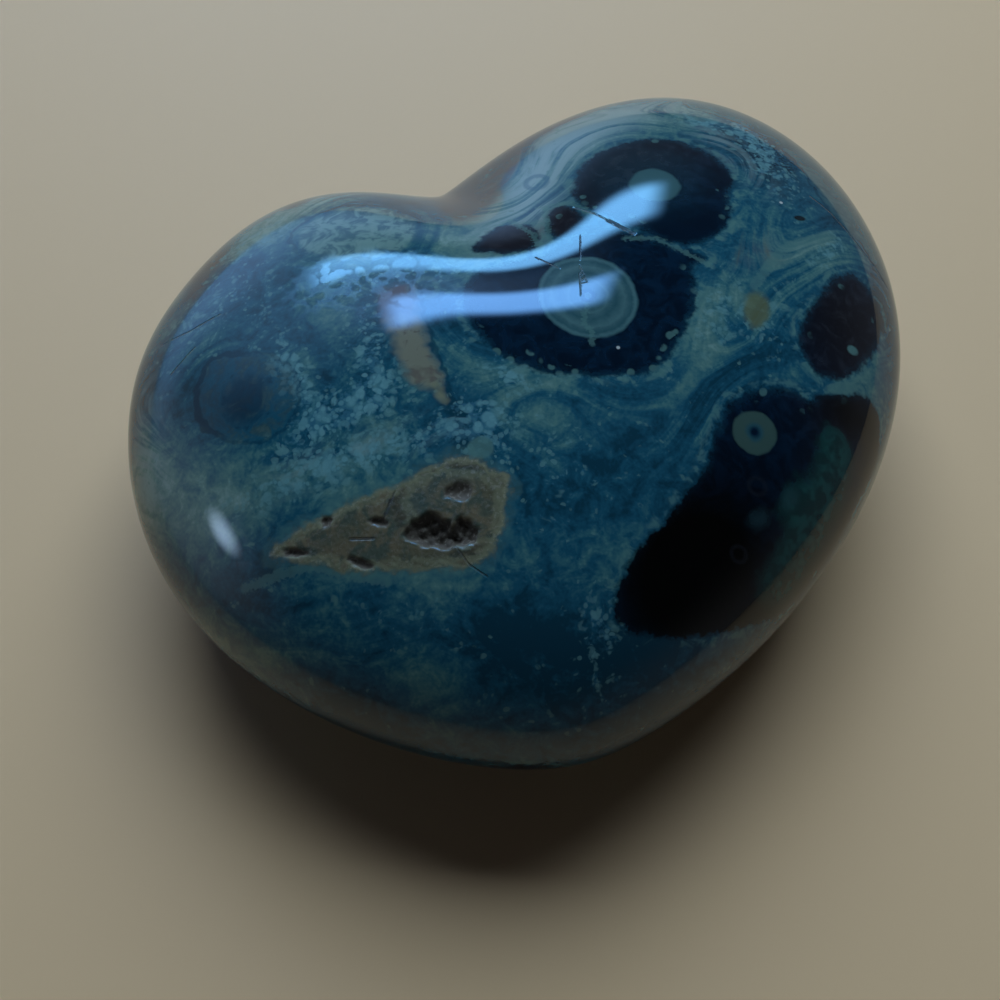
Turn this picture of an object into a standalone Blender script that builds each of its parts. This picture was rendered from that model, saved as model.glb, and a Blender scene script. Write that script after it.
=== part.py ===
"""Polished puffy heart of orbicular jasper: one pebble-smooth stone that lies on its back.

The stone is a single solid. A heart-shaped girdle carries one dome above and one below. The girdle
starts as a rounded oval, and the lobes are drawn out behind it on either side of a groove that is
sharp at the notch and dies away on top. A pocket of softer, sandy stone on the dome has a
few open pits, and a small flat is worn on the underside, where the heart rests.

X runs from lobe to lobe, Y from the tip towards the notch, and Z up. The origin is the centre of the
stone's box, on the surface that it rests on.
"""

import math

import bmesh
import bpy
import numpy as np
from mathutils import Matrix, Vector

MM = 0.001

# Girdle, seen from above.
HALF_WIDTH = 35.0 * MM
HALF_LENGTH = 27.8 * MM
GIRDLE_POWER = 2.02  # 2 is an ellipse, and more is squarer
WIDER_TO_RIGHT = 0.020
LOBE_SLOPE = 0.532  # how fast the girdle climbs from the notch to a lobe
TIP_SLOPE = 0.262  # how fast it climbs from the tip to a side
LOBE_BIAS = -0.018
TIP_RADIUS = 5.2 * MM
SHEAR = 0.114  # the whole heart leans to the right
SHOULDER_FLAT = 0.092  # the left shoulder was ground flatter by this share
SHOULDER_AT = math.radians(150.2)
FLANK_FULL = 0.023  # the right flank is fuller by this share
FLANK_AT = math.radians(313.7)
SPREAD = math.radians(24.0)  # how wide along the girdle both of these are
NOTCH_BLEND = 0.45

# Domes above and below the girdle.
HALF_THICKNESS = 12.85 * MM
DOME_POWER = 2.09

# Groove between the lobes. It starts left of the middle and runs obliquely over the top.
GROOVE_START = -3.7 * MM
GROOVE_LEAN = 10.2 * MM
GROOVE_RADIUS = 0.72 * MM
GROOVE_TOP_RADIUS = 14.9 * MM
GROOVE_FADE = 1.98
LOBE_REACH = 18.0 * MM
VALLEY_FILL = 0.26  # share of the lobes' height that soft rounding doesn't take away
FURROW_DEPTH = 0.248  # share of the dome's height that the furrow takes at the notch
FURROW_WIDTH = 8.4 * MM
FURROW_REACH = 0.423

# Worn flat on the underside.
FLAT_DEPTH = 0.28 * MM
CUT_MARGIN = 5.0 * MM

# Facets of the solid. Meridians crowd towards the notch by this share.
MERIDIANS = 88
PARALLELS = 42
NOTCH_CROWDING = 0.45

# Open pits, by longitude and latitude on the dome: half length, half width, depth, and the angle
# from X that the length lies at.
PITS = {
    "vug_deep": (241.5, 57.6, 2.0 * MM, 1.25 * MM, 1.3 * MM, -30.0),
    "vug_side": (248.3, 59.0, 1.0 * MM, 1.1 * MM, 1.0 * MM, 0.0),
    "upper_pit": (243.5, 65.5, 1.1 * MM, 0.7 * MM, 0.5 * MM, -10.0),
    "slot_left": (221.5, 41.9, 1.15 * MM, 0.3 * MM, 0.4 * MM, -20.0),
    "slot_front": (232.0, 47.2, 1.1 * MM, 0.3 * MM, 0.4 * MM, -36.0),
    "slot_back": (230.3, 55.4, 0.8 * MM, 0.3 * MM, 0.4 * MM, -28.0),
    "pinhole": (221.8, 50.3, 0.45 * MM, 0.4 * MM, 0.35 * MM, 0.0),
}
PIT_ROUGHNESS = 0.12

STONE_COLOUR = (0.045, 0.115, 0.150, 1.0)
STONE_ROUGHNESS = 0.08


def clear_scene():
    for obj in list(bpy.data.objects):
        bpy.data.objects.remove(obj)


def new_collection(name):
    collection = bpy.data.collections.new(name)
    bpy.context.scene.collection.children.link(collection)
    return collection


def polished_stone():
    material = bpy.data.materials.new("orbicular_jasper")
    material.use_nodes = True
    shader = material.node_tree.nodes["Principled BSDF"]
    shader.inputs["Base Color"].default_value = STONE_COLOUR
    shader.inputs["Roughness"].default_value = STONE_ROUGHNESS
    shader.inputs["Metallic"].default_value = 0.0
    return material


def soft_abs(value, radius):
    """Distance from zero, with the corner at zero rounded to the radius."""
    return np.sqrt(value * value + radius * radius) - radius


def valley(value, radius):
    """Distance from the groove line, with its bottom rounded and the lobes kept part of their height."""
    lost = radius - (np.sqrt(LOBE_REACH**2 + radius * radius) - LOBE_REACH)
    return soft_abs(value, radius) + VALLEY_FILL * lost


def heart_surface(longitude, latitude):
    """Points of the stone, in metres, with the girdle at z = 0.

    The dome's profile is a superellipse of height over radius, and the girdle is a superellipse in
    plan. Behind the middle y rises with the distance from the groove line, and in front of it with
    the distance from the centre line, which makes the lobes and the tip. Along the groove line both
    domes sink into a furrow that ends on top. A shear leans the heart.
    """
    reach = np.abs(np.cos(latitude)) ** (2.0 / DOME_POWER)
    height = HALF_THICKNESS * np.sin(latitude)
    across = np.cos(longitude)
    along = np.sin(longitude)
    girdle = (np.abs(across) ** GIRDLE_POWER + np.abs(along) ** GIRDLE_POWER) ** (-1.0 / GIRDLE_POWER)
    shoulder = np.exp((np.cos(longitude - SHOULDER_AT) - 1.0) / SPREAD**2)
    flank = np.exp((np.cos(longitude - FLANK_AT) - 1.0) / SPREAD**2)
    girdle = girdle * (1.0 - SHOULDER_FLAT * shoulder + FLANK_FULL * flank)
    u = reach * across * girdle
    v = reach * along * girdle
    x = HALF_WIDTH * u * (1.0 + WIDER_TO_RIGHT * np.tanh(2.0 * u))
    y = HALF_LENGTH * v
    inward = 1.0 - np.clip(v, 0.0, 1.0)
    groove_line = GROOVE_START + GROOVE_LEAN * inward
    fade = 1.0 - np.exp(-((inward * GROOVE_FADE) ** 2))
    groove_radius = GROOVE_RADIUS + GROOVE_TOP_RADIUS * fade
    behind = 0.5 * (1.0 + np.tanh(v / NOTCH_BLEND))
    lobes = LOBE_SLOPE * (valley(x - groove_line, groove_radius) - valley(0.0, GROOVE_RADIUS))
    furrow = np.exp(-(((x - groove_line) / FURROW_WIDTH) ** 2) - (inward / FURROW_REACH) ** 2)
    height = height * (1.0 - FURROW_DEPTH * furrow)
    tip = TIP_SLOPE * soft_abs(x, TIP_RADIUS)
    y = y + (behind * lobes + (1.0 - behind) * tip) * (1.0 + LOBE_BIAS * np.tanh(3.0 * u))
    x = x + SHEAR * y
    return np.stack([x, y, height], axis=-1)


def crowded(longitude):
    """Longitudes moved towards the notch, so that the groove gets the narrowest facets."""
    from_notch = longitude - math.pi / 2.0
    return longitude - NOTCH_CROWDING * np.sin(from_notch)


def dome_mesh():
    """A unit UV sphere whose vertices are carried to the heart, centred over the origin."""
    bm = bmesh.new()
    bmesh.ops.create_uvsphere(bm, u_segments=MERIDIANS, v_segments=PARALLELS, radius=1.0)
    sphere = np.array([vertex.co for vertex in bm.verts])
    longitude = crowded(np.arctan2(sphere[:, 1], sphere[:, 0]))
    latitude = np.arcsin(np.clip(sphere[:, 2], -1.0, 1.0))
    points = heart_surface(longitude, latitude)
    middle = (points.min(axis=0) + points.max(axis=0)) / 2.0
    lift = np.array([-middle[0], -middle[1], HALF_THICKNESS - FLAT_DEPTH])
    for vertex, point in zip(bm.verts, points + lift):
        vertex.co = point
    mesh = bpy.data.meshes.new("heart")
    bm.to_mesh(mesh)
    bm.free()
    mesh.shade_smooth()
    return mesh, lift


def surface_frame(longitude, latitude, lift):
    """Matrix of a point on the stone: local Z points out of it, and local X is nearest to X."""
    step = 0.002
    east = heart_surface(longitude + step, latitude) - heart_surface(longitude - step, latitude)
    north = heart_surface(longitude, latitude + step) - heart_surface(longitude, latitude - step)
    outward = Vector(np.cross(east, north)).normalized()
    side = (Vector((1.0, 0.0, 0.0)) - outward * outward.x).normalized()
    frame = Matrix((side, outward.cross(side), outward)).transposed().to_4x4()
    frame.translation = Vector(heart_surface(longitude, latitude) + lift)
    return frame


def add_cutter(name, mesh, collection, stone):
    cutter = bpy.data.objects.new(name, mesh)
    cutter.hide_render = True
    cutter.display_type = "WIRE"
    collection.objects.link(cutter)
    cut = stone.modifiers.new(name, "BOOLEAN")
    cut.operation = "DIFFERENCE"
    cut.solver = "EXACT"
    cut.object = cutter
    return cutter


def pit_mesh(name, half_length, half_width, depth):
    """A flattened, slightly lumpy ball."""
    bm = bmesh.new()
    bmesh.ops.create_icosphere(bm, subdivisions=2, radius=1.0)
    for vertex in bm.verts:
        x, y, z = vertex.co
        lump = math.sin(5.0 * x + 2.0) * math.cos(4.0 * y - 1.0) + math.sin(6.0 * z + 3.0 * x)
        vertex.co *= 1.0 + PIT_ROUGHNESS * lump
    bmesh.ops.scale(bm, vec=(half_length, half_width, depth), verts=bm.verts)
    mesh = bpy.data.meshes.new(name)
    bm.to_mesh(mesh)
    bm.free()
    return mesh


def cut_pits(stone, collection, lift):
    for name, (longitude, latitude, half_length, half_width, depth, spin) in PITS.items():
        cutter = add_cutter(name, pit_mesh(name, half_length, half_width, depth), collection, stone)
        frame = surface_frame(math.radians(longitude), math.radians(latitude), lift)
        cutter.matrix_world = frame @ Matrix.Rotation(math.radians(spin), 4, "Z")


def cut_flat(stone, collection):
    """A block whose top lies at z = 0 takes the lowest skin off the underside."""
    bm = bmesh.new()
    bmesh.ops.create_cube(bm, size=1.0)
    side = 2.0 * HALF_WIDTH
    bmesh.ops.scale(bm, vec=(side, side, CUT_MARGIN), verts=bm.verts)
    bmesh.ops.translate(bm, vec=(0.0, 0.0, -CUT_MARGIN / 2.0), verts=bm.verts)
    mesh = bpy.data.meshes.new("worn_flat")
    bm.to_mesh(mesh)
    bm.free()
    add_cutter("worn_flat", mesh, collection, stone)


def build():
    clear_scene()
    pieces = new_collection("jasper_heart")
    cutters = new_collection("cutters")
    mesh, lift = dome_mesh()
    stone = bpy.data.objects.new("heart", mesh)
    stone.data.materials.append(polished_stone())
    pieces.objects.link(stone)
    cut_pits(stone, cutters, lift)
    cut_flat(stone, cutters)


build()
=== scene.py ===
"""Looks of the polished jasper heart: a fine skin with its markings, a plain pale floor and soft studio light.

The skin is worked out by the heart's own formula. Its markings are outlines dropped on the stone. Their
distances are kept on the skin as attributes in millimetres, and the stone's material colours by them.
"""

import math

import bpy
import numpy as np
from mathutils import Matrix, Vector


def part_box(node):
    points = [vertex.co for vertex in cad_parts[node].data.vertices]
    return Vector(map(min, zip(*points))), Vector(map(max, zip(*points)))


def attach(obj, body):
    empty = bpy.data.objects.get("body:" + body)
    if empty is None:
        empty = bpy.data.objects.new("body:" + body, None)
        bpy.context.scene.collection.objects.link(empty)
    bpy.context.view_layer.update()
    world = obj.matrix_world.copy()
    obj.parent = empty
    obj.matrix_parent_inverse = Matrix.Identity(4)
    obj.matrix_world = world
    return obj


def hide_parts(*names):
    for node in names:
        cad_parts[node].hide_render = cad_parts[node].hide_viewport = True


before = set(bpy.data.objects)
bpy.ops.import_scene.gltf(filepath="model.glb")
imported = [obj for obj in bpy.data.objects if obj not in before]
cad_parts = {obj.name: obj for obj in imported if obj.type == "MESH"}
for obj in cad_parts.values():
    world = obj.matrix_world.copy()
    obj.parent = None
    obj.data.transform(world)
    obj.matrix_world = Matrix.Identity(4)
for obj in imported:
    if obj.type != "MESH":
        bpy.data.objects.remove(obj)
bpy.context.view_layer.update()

MM = 0.001

# ---------- shape of the stone
HALF_WIDTH = 35.0 * MM
HALF_LENGTH = 27.8 * MM
GIRDLE_POWER = 2.02
WIDER_TO_RIGHT = 0.020
LOBE_SLOPE = 0.532
TIP_SLOPE = 0.262
LOBE_BIAS = -0.018
TIP_RADIUS = 5.2 * MM
SHEAR = 0.114
SHOULDER_FLAT = 0.092
SHOULDER_AT = math.radians(150.2)
FLANK_FULL = 0.023
FLANK_AT = math.radians(313.7)
SPREAD = math.radians(24.0)
NOTCH_BLEND = 0.45
HALF_THICKNESS = 12.85 * MM
DOME_POWER = 2.09
GROOVE_START = -3.7 * MM
GROOVE_LEAN = 10.2 * MM
GROOVE_RADIUS = 0.72 * MM
GROOVE_TOP_RADIUS = 14.9 * MM
GROOVE_FADE = 1.98
LOBE_REACH = 18.0 * MM
VALLEY_FILL = 0.26
FURROW_DEPTH = 0.248
FURROW_WIDTH = 8.4 * MM
FURROW_REACH = 0.423
FLAT_DEPTH = 0.28 * MM
PIT_REACH = 5.0 * MM  # nothing farther from a pit is pushed in

# Rows and columns of the skin's grid, and where they crowd: (place, width, gain) in degrees.
COLUMNS = 560
ROWS = 178
COLUMN_CROWDS = [(90.0, 22.0, 1.2), (233.0, 16.0, 1.3)]
ROW_CROWDS = [(54.0, 11.0, 1.0), (90.0, 60.0, 0.6)]
UNDERSIDE_DENSITY = 0.5

# Open pits: longitude, latitude, half length, half width, depth in mm, and the length's angle from X.
PITS = [
    (241.5, 57.6, 2.0, 1.25, 1.3, -30.0),
    (248.3, 59.0, 1.0, 1.1, 1.0, 0.0),
    (243.5, 65.5, 1.1, 0.7, 0.5, -10.0),
    (221.5, 41.9, 1.15, 0.3, 0.4, -20.0),
    (232.0, 47.2, 1.1, 0.3, 0.4, -36.0),
    (230.3, 55.4, 0.8, 0.3, 0.4, -28.0),
    (221.8, 50.3, 0.45, 0.4, 0.35, 0.0),
]

# ---------- markings, in mm seen from above
ORB_OUTLINES = {
    "back_orb": [
        (7.3, 12.2), (7, 14), (7.7, 15.8), (8.9, 17.6), (10.8, 19), (13.4, 19.7), (16, 19.6), (18.4, 18.7),
        (20.2, 16.9), (21.2, 14.6), (21.1, 12.4), (20.2, 10.8), (19.7, 9.2), (19, 7.7), (17.6, 6.2),
        (15.6, 5.2), (13.6, 5.2), (12.1, 6.2), (11, 7.6), (9.4, 9.3), (8.2, 10.8),
    ],
    "middle_orb": [
        (-5.4, 3), (-5.3, 0.8), (-4.6, -1.2), (-3.2, -3.2), (-1, -4.8), (1.7, -5.8), (4.5, -6.5), (6.8, -6.6),
        (8.8, -5.5), (10.6, -3.7), (12.4, -1.4), (13.4, 0.8), (13.8, 2.6), (15.2, 3.3), (14.6, 4.3),
        (13, 5.2), (11.4, 6.6), (10, 7.7), (8, 8.4), (5.5, 8), (3, 7.2), (0, 6.9), (-3, 6.8), (-4.8, 5.2),
    ],
    "right_orb": [
        (20, -5.5), (20.1, -7.5), (21.3, -8.6), (23, -8.6), (24.8, -7.8), (26.8, -6.3), (28.7, -4.2),
        (29.7, -2.2), (29.6, -0.2), (28.6, 1.3), (27.6, 1.5), (26, 0.9), (24.2, -0.6), (22.4, -2.2),
        (20.8, -3.9),
    ],
    "front_orb": [
        (11, -11.2), (12.4, -10), (14.6, -9.3), (16.8, -9.2), (18.4, -9.7), (19.4, -10.3), (20.6, -9.8),
        (22.5, -9.9), (24.6, -9.6), (25.8, -10.6), (25.6, -12.4), (24.5, -14.5), (22, -17), (19, -20),
        (15.5, -22.6), (12, -24.6), (8.5, -25.6), (5, -26), (1.5, -25.7), (-1.2, -24.8), (-1.3, -22.8),
        (0.2, -21), (1.8, -19.6), (4.5, -18), (6.6, -16.4), (8.4, -15), (9.4, -13.4), (10.2, -12.2),
    ],
    "notch_patch": [
        (4, 12), (5, 12.9), (6.2, 12.6), (7, 11.2), (6.6, 10), (5.6, 8.9), (4.3, 8.6), (3.5, 9.6), (3.7, 11),
    ],
    "groove_patch": [
        (-3, 9.5), (-1.5, 11.3), (0.5, 12.2), (2.3, 11.5), (2.8, 10), (2.2, 8.3), (1, 7.6), (-1, 8.2),
    ],
}
# Orbs on the sides and the underside: longitude, latitude, radius, and the radius of a ringed disc or 0.
SIDE_ORBS = [
    (205, -38, 6.5, 2.6),
    (262, -20, 4.6, 0),
    (300, -42, 8, 3.4),
    (12, -30, 6, 0),
    (62, -12, 5, 1.9),
    (128, -8, 4, 0),
    (150, -45, 8.5, 3.6),
    (60, -62, 7, 2.4),
]
# Slow waves on the sides: which soft area they add to, wavelength in mm, seed and strength.
SIDE_WAVES = [
    ("speckled", 10, 11, 0.9),
    ("pale", 12, 12, 0.7),
    ("dark", 11, 13, 0.6),
    ("milky", 14, 14, 0.6),
]
# Outlines of the other markings, by the name of the distance that is kept.
OUTLINES = {
    "sandy": [
        (-24.8, -11.7), (-22.9, -11), (-20.8, -10.7), (-18.4, -10.6), (-16.4, -10.3), (-14.5, -10.4),
        (-12.4, -9.9), (-10.8, -9.8), (-9.6, -9.6), (-8.2, -10.2), (-7.4, -11.2), (-6.6, -11.9),
        (-6.3, -13.4), (-7.2, -14.4), (-7.4, -15.6), (-8.2, -16.9), (-9.4, -17.8), (-10.8, -18.1),
        (-12.2, -17.7), (-14.3, -17.1), (-17.1, -16.2), (-19.3, -15.4), (-21.3, -14.1), (-23.3, -12.9),
    ],
    "vein": [
        (-11.6, 7.2), (-10.4, 7.4), (-8.8, 7), (-8.7, 5), (-8.9, 2), (-8.8, -0.8), (-8.8, -3.2), (-9, -5),
        (-9.5, -5), (-10.1, -3.6), (-11, -2.6), (-11.7, -0.4), (-11.6, 2.4), (-11.9, 4.6),
    ],
    "left_oval": [
        (-26.1, 6.9), (-24.4, 6.8), (-22.1, 5.6), (-20.3, 3.9), (-19.3, 1.5), (-19.5, -0.8), (-20.9, -2.6),
        (-22.6, -3.1), (-25, -2.5), (-26.9, -0.6), (-27.9, 1.6), (-27.6, 4.4),
    ],
    "green_patch": [
        (20.9, -12.2), (22.2, -13.6), (21.6, -15.7), (19.8, -18.3), (17.1, -20.9), (14, -23.4), (11.5, -24.6),
        (10.1, -24.2), (10.3, -22.9), (11.8, -21.4), (13.4, -19.6), (13.3, -18.6), (14.1, -17), (15.6, -16.1),
        (17.2, -15.6), (18.1, -14), (19.2, -12.7),
    ],
    "pale_orb": [
        (-16, 18), (-13.4, 19.4), (-10.4, 19.3), (-7.8, 17.8), (-6.6, 15.6), (-6.9, 13), (-8.9, 11.3),
        (-11.8, 11.2), (-14.6, 12.8), (-16.2, 15.2),
    ],
    "rim_zone": [
        (22, 25.5), (24.6, 22.6), (27.2, 19.4), (28.6, 16), (29, 12.6), (29.1, 9.6), (29.7, 7.2), (31, 5.6),
        (31.6, 3.4), (33.4, 0.5), (37, 4), (37, 18), (31, 28), (25, 31),
    ],
}

# Lines on top: points, and half width in mm.
CRACKS = [
    ([(7, 11.8), (8, 10.7), (8.7, 9.6)], 0.05),
    ([(8.7, 9.6), (9.4, 8.5), (10, 7.7)], 0.16),
    ([(5.8, 7.9), (5.2, 6.1)], 0.01),
    ([(2, 6.5), (2.8, 5.5)], 0.01),
    ([(4.5, 4.2), (4, 2.3)], 0.01),
    ([(4.8, 4.4), (4.8, 3.2)], 0.01),
    ([(-29.2, 11.6), (-26.9, 11.1), (-24.6, 11.2)], 0.03),
    ([(-28.8, 7.8), (-27.2, 8.7)], 0.02),
    ([(-11.3, -16.5), (-10.8, -17.9), (-10.1, -18.7)], 0.03),
    ([(28.2, 10), (29.3, 8.4), (30.1, 6.2), (30.9, 4.1), (32, 1.6)], 0.03),
    ([(-18.2, -13.3), (-17.4, -13.6)], 0.08),
    ([(-15.6, -12.2), (-14.9, -11.3)], 0.06),
]
PALE_LINES = [
    ([(4.4, 13.4), (6.6, 12.9), (7.7, 10.9)], 0.15),
    ([(4.4, 13.4), (3.9, 11.2), (3.4, 8.6)], 0.12),
    ([(9.6, 6.9), (11.8, 6.4), (13.7, 4.3), (15.2, 2.7)], 0.13),
    ([(3.9, 0.5), (3.2, -0.9), (3.5, -1.8), (3.3, -2.8)], 0.09),
    ([(1.3, 12.4), (2.3, 10), (2.2, 7.3)], 0.12),
    ([(18.3, 0.2), (21.2, 2.9), (23.2, 4.2), (27.8, 5.6)], 0.35),
    ([(-27, -13), (-24.5, -13.4), (-21.8, -13.8), (-20.3, -14.9), (-17, -16.9)], 0.30),
]

# Soft areas: x, y, half length, half width, the length's angle from X, strength.
SOFT_AREAS = {
    "pale": [
        (-20.5, 19.5, 3.5, 2.2, 30, 0.9), (-12, 22.5, 7, 1.8, 0, 0.8), (23, 5, 7, 2.2, 38, 0.35),
        (9, 21, 11, 4.5, 42, 1), (22.5, 14.5, 1.4, 5.5, 10, 0.8), (1, 15.5, 4, 2.5, 60, 0.6),
        (18.5, 22, 3, 1.8, -35, 0.9), (-32.5, 2, 6, 1.2, 85, 0.8), (-18, -6.8, 9, 1.5, 0, 0.8),
        (12.5, -5.5, 9, 2, 48, 0.6), (-6.3, -2.5, 6, 1.4, -70, 0.6), (16.5, 1.5, 3.5, 1.8, 40, 0.25),
        (-6.4, -17, 4.5, 0.8, 85, 0.6), (-2.6, -12.5, 2.2, 1, 60, 0.4), (-4.8, 13, 2.2, 1.6, 80, 0.7),
        (-14, 9, 7, 2, -20, 0.5), (-30, -8, 3, 1.5, -60, 0.3), (-24.5, -14.3, 5, 0.8, -14, 0.8),
        (-14, -18, 5, 0.9, -16, 0.6), (18.5, -8, 3.5, 0.8, 10, 0.7),
    ],
    "dark": [
        (-21, -5.3, 3.4, 0.4, -19, 0.8), (-18, 5, 3.2, 1.3, -60, 0.7), (-17.2, 0.5, 4, 0.7, 90, 0.6),
        (-22, -22.5, 6, 1.6, -35, 0.9), (-18, -17.8, 1.8, 1.2, 0, 0.7), (-12, -22.5, 8, 1.4, -18, 0.6),
        (-8.6, -7.2, 3.2, 0.55, 92, 1), (-28, -13.5, 3, 1, -25, 0.8), (3.5, -11.5, 2.4, 1, 10, 0.4),
        (9, -9.5, 5, 0.8, 30, 0.5), (-5.6, -14.6, 1.8, 0.4, 85, 0.8), (23.5, 9, 2.8, 1.6, 50, 0.5),
        (25.5, 15, 8, 3, 80, 0.4), (20.5, 21, 3.5, 0.9, -40, 0.5), (-6, 19.5, 2, 1.2, -30, 0.6),
        (-21, 16.5, 1.8, 1.2, 40, 0.7), (0, -24, 6, 8, 0, 0.35), (0.5, -27.8, 7, 3, 10, 1),
        (-12, -27, 14, 2.5, -14, 0.6), (0, -7.2, 4.5, 1.6, -5, 0.8), (17, -25, 10, 4, 30, 1.2),
        (19, 4, 5.5, 2.4, 40, 0.8),
    ],
    "brown": [
        (20.5, 3.5, 5, 2.5, 40, 0.45), (-25, 18.5, 6, 2.8, 60, 0.9), (-15.4, 25, 3, 1.6, 80, 1),
        (-1, 18, 5, 2.6, 60, 0.8), (2.5, 22.5, 7, 2.6, 50, 1), (-2.5, 22.5, 3, 3, 0, 0.7),
        (2, 10.5, 3.5, 2.5, 10, 0.5), (11, 28, 7, 2, 15, 0.8), (-34, 6, 4, 1.5, 90, 0.5),
        (-10.5, -11.3, 3, 2, 30, 0.4),
    ],
    "speckled": [
        (-19.8, 2, 4.5, 1.6, 100, 1), (-13.5, 1.5, 4.5, 1.6, 80, 0.9), (-17, -3, 6, 2, 10, 1),
        (-17, -7.2, 10, 1.7, 0, 1), (-7, -8, 2.4, 3.2, 0, 0.9), (-4.2, -3.6, 3.2, 1.2, -55, 0.7),
        (2, -5.6, 6, 0.8, -12, 0.5), (25.6, 16.5, 6.5, 2.2, 85, 1), (22, 21.5, 3, 1.4, -40, 0.9),
        (14, -2, 5, 2, 60, 0.5), (-24, 11.5, 7, 4, 30, 0.45), (-2.5, -13, 4, 2.5, 60, 0.4),
        (27, 4, 4, 1, 40, 0.7), (-2.9, -25, 3.4, 2, 75, 0.6), (-16, -19.5, 3, 1.5, 0, 0.3),
        (-9, 8, 6, 2, -10, 0.5), (-20, 20, 4, 2.5, 30, 0.6), (17.5, -3.5, 4, 2.4, 60, 0.5),
    ],
    "banded": [
        (9, 21, 13, 5, 42, 1), (1, 14, 6, 4, 60, 0.9), (25, 4, 9, 4, 35, 1), (31, -4, 8, 3, 80, 0.8),
        (13, -6.5, 11, 2.6, 45, 1), (2, -8.8, 8, 2.6, -8, 0.9), (-6, -2, 8, 1.8, -70, 0.7),
        (-14, -23, 16, 4, -20, 0.35), (-27, 9, 6, 4, 40, 0.5), (-12, 22, 9, 3, 0, 0.8),
        (-8, 13, 4, 6, 0, 0.4),
    ],
    "plum": [
        (13, 16.5, 7.5, 4.5, 15, 1), (25, -3.5, 7, 5, 55, 1), (5, 11, 4, 3, 0, 1), (0, 10, 4, 3, 0, 1),
        (22.5, -11.5, 4, 3, 0, 0.6),
    ],
    "milky": [
        (-18, -7, 8, 1.3, 0, 0.45), (6, 18.5, 11, 3.2, 52, 1), (14, 24.5, 8, 2.4, 10, 1),
        (1.5, 13, 3, 4, 0, 0.8), (22.5, 17, 1.6, 5, 15, 0.7), (-14, 24, 8, 1.4, 0, 0.7),
        (-32.5, 2, 6, 1.6, 85, 0.8), (24, 5, 5.5, 1.2, 25, 0.4),
    ],
    "bits": [
        (-2.5, -2.5, 3.5, 2.2, -50, 1), (2, -5.2, 4.5, 1, -12, 1), (9.5, -4, 3, 1.2, 45, 0.7),
        (19, 8, 2, 2, 0, 0.8), (12, -17, 3, 3, 0, 0.3),
    ],
    "sand_teal": [
        (-13.3, -12.4, 1.8, 1.3, 30, 0.9), (-9.6, -10.9, 2.6, 1, -20, 0.9), (-20.5, -12.6, 1.4, 0.5, 0, 0.5),
    ],
    "sand_tan": [
        (-7.6, -13.4, 1.2, 3.2, 0, 1), (-13.5, -16.4, 4.5, 0.9, -12, 0.9), (-18.5, -12.6, 2.5, 1, 10, 0.6),
    ],
    "crazed": [
        (-15, 9, 8, 3.5, -10, 1),
    ],
    "jet": [
        (25, -3.5, 5, 4, 55, 0.35), (22.8, -11.4, 3.2, 2.2, 0, 0.9), (5.5, -22, 9, 6.5, 30, 1.3),
    ],
}


# ---------- shape functions
def soft_abs(value, radius):
    """Distance from zero, with the corner at zero rounded: sqrt(value^2 + radius^2) - radius."""
    return np.sqrt(value * value + radius * radius) - radius


def valley(value, radius):
    """soft_abs plus VALLEY_FILL of the height that the rounding takes away at LOBE_REACH."""
    lost = radius - (np.sqrt(LOBE_REACH**2 + radius * radius) - LOBE_REACH)
    return soft_abs(value, radius) + VALLEY_FILL * lost


def heart_surface(longitude, latitude):
    """Points of the stone in metres, girdle at z = 0.

    In plan, reach = |cos latitude|^(2 / DOME_POWER) times a superellipse of GIRDLE_POWER, with one
    shoulder flattened and one flank filled by bell curves over the longitude. y then rises with the
    valley() of the distance from the groove line behind the middle, and with soft_abs(x) in front of
    it. x shears by SHEAR times y. z = HALF_THICKNESS * sin(latitude), less a bell-shaped furrow along
    the groove line near the notch.
    """
    reach = np.abs(np.cos(latitude)) ** (2.0 / DOME_POWER)
    height = HALF_THICKNESS * np.sin(latitude)
    across = np.cos(longitude)
    along = np.sin(longitude)
    girdle = (np.abs(across) ** GIRDLE_POWER + np.abs(along) ** GIRDLE_POWER) ** (-1.0 / GIRDLE_POWER)
    shoulder = np.exp((np.cos(longitude - SHOULDER_AT) - 1.0) / SPREAD**2)
    flank = np.exp((np.cos(longitude - FLANK_AT) - 1.0) / SPREAD**2)
    girdle = girdle * (1.0 - SHOULDER_FLAT * shoulder + FLANK_FULL * flank)
    u = reach * across * girdle
    v = reach * along * girdle
    x = HALF_WIDTH * u * (1.0 + WIDER_TO_RIGHT * np.tanh(2.0 * u))
    y = HALF_LENGTH * v
    inward = 1.0 - np.clip(v, 0.0, 1.0)
    groove_line = GROOVE_START + GROOVE_LEAN * inward
    fade = 1.0 - np.exp(-((inward * GROOVE_FADE) ** 2))
    groove_radius = GROOVE_RADIUS + GROOVE_TOP_RADIUS * fade
    behind = 0.5 * (1.0 + np.tanh(v / NOTCH_BLEND))
    lobes = LOBE_SLOPE * (valley(x - groove_line, groove_radius) - valley(0.0, GROOVE_RADIUS))
    furrow = np.exp(-(((x - groove_line) / FURROW_WIDTH) ** 2) - (inward / FURROW_REACH) ** 2)
    height = height * (1.0 - FURROW_DEPTH * furrow)
    tip = TIP_SLOPE * soft_abs(x, TIP_RADIUS)
    y = y + (behind * lobes + (1.0 - behind) * tip) * (1.0 + LOBE_BIAS * np.tanh(3.0 * u))
    x = x + SHEAR * y
    return np.stack([x, y, height], axis=-1)


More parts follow.
